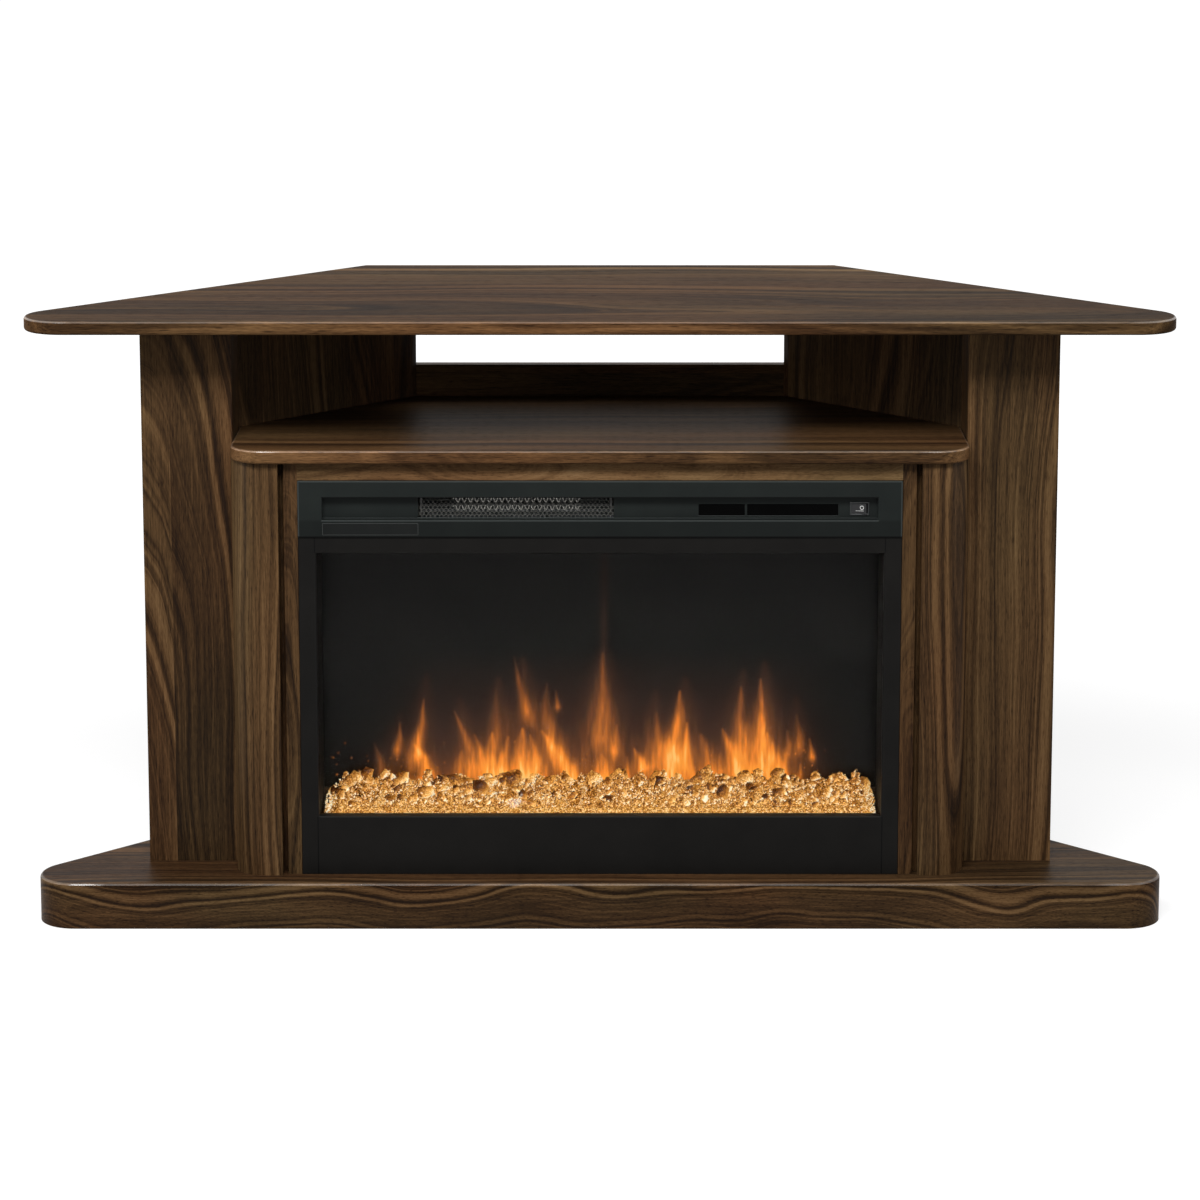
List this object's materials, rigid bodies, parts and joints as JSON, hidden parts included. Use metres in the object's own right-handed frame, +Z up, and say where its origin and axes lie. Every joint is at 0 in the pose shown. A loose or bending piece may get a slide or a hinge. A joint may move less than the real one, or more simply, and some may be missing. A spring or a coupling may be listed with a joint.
{
  "type": "corner fireplace",
  "caption": "Trapezoid corner stand in dark walnut laminate with a media shelf, rounded columns and an electric fireplace insert with glass front, crystal bed and fan heater.",
  "frame": {"origin": "on the floor, under the middle of the top slab's bounding box", "axes": "+X to the right seen from the front, +Y from the front to the room corner behind, +Z up"},
  "size_m": [1.25, 0.412, 0.679],
  "materials": {
    "walnut_board": "satin walnut laminate, grain along the board",
    "walnut_panel": "satin walnut laminate, upright grain",
    "raw_board": "unfaced fibreboard",
    "beech_dowel": "plain turned beech",
    "zinc_hardware": "zinc plated",
    "fascia_paint": "satin blue black powder coat",
    "frame_paint": "satin black powder coat",
    "mesh_paint": "black expanded mesh",
    "soot_paint": "matt black paint",
    "housing_steel": "galvanised sheet",
    "black_lens": "glossy black lens",
    "black_plastic": "fine grained black moulding",
    "clear_glass": "tempered clear glass",
    "smoked_screen": "smoked diffusing screen",
    "frosted_tray": "frosted clear sheet",
    "amber_crystal": "crushed glass lit amber from below",
    "circuit_board": "green solder mask",
    "bright_foil": "bright rolled foil",
    "motor_steel": "laminated and plated steel",
    "fan_aluminium": "dull rolled aluminium",
    "heater_wire": "bright resistance wire on mica"
  },
  "bodies": {
    "stand": {"top_slab": "walnut_board", "shelf": "walnut_board", "header_rail": "walnut_board", "back_rail": "walnut_panel", "lower_back_rail": "walnut_panel", "wing_front_left": "walnut_panel", "wing_front_right": "walnut_panel", "wing_return_left": "walnut_panel", "wing_return_right": "walnut_panel", "side_panel_left": "walnut_panel", "side_panel_right": "walnut_panel", "column_left": "walnut_panel", "column_right": "walnut_panel", "partition_left": "walnut_panel", "partition_right": "walnut_panel", "base_deck": "walnut_board", "base_front_rail": "walnut_board", "base_back_rail": "walnut_board", "base_side_rail_left": "walnut_board", "base_side_rail_right": "walnut_board", "base_tip_left": "walnut_board", "base_tip_right": "walnut_board", "base_cross_ribs": "raw_board", "cam_locks": "zinc_hardware", "cam_bolts": "zinc_hardware", "dowels": "beech_dowel", "corner_plates": "zinc_hardware", "insert_brackets": "zinc_hardware", "wood_screws": "zinc_hardware", "fascia": "fascia_paint", "outlet_mesh": "mesh_paint", "display_windows": "black_lens", "rocker_bezel": "black_plastic", "front_frame": "frame_paint", "front_glass": "clear_glass", "glass_clips": "zinc_hardware", "housing_floor": "housing_steel", "housing_roof": "housing_steel", "housing_side_left": "housing_steel", "housing_side_right": "housing_steel", "rear_cover": "housing_steel", "cover_screws": "zinc_hardware", "cord_inlet": "black_plastic", "firebox_liner": "soot_paint", "flame_screen": "smoked_screen", "flame_cutout_panel": "soot_paint", "ember_tray": "frosted_tray", "crystal_bed": "amber_crystal", "ember_light_strip": "circuit_board", "flame_light_strip": "circuit_board", "rotor_brackets": "housing_steel", "rotor_motor": "motor_steel", "fan_casing": "housing_steel", "fan_motor": "motor_steel", "heater_element": "heater_wire", "thermal_cutout": "heater_wire", "control_board": "circuit_board"},
    "rocker": {"power_rocker": "black_plastic"},
    "rotor": {"flame_rotor": "bright_foil"},
    "fan": {"fan_wheel": "fan_aluminium"}
  },
  "joints": [
    {"name": "rocker_tilt", "type": "hinge", "parent": "stand", "child": "rocker", "pos_m": [0.28385, -0.161, 0.46505], "axis": [0, 0, 1], "range_deg": [0, 16]},
    {"name": "rotor_spin", "type": "hinge", "parent": "stand", "child": "rotor", "pos_m": [0, -0.056, 0.09], "axis": [1, 0, 0], "continuous": true},
    {"name": "fan_spin", "type": "hinge", "parent": "stand", "child": "fan", "pos_m": [-0.092, -0.084, 0.453], "axis": [1, 0, 0], "continuous": true}
  ]
}
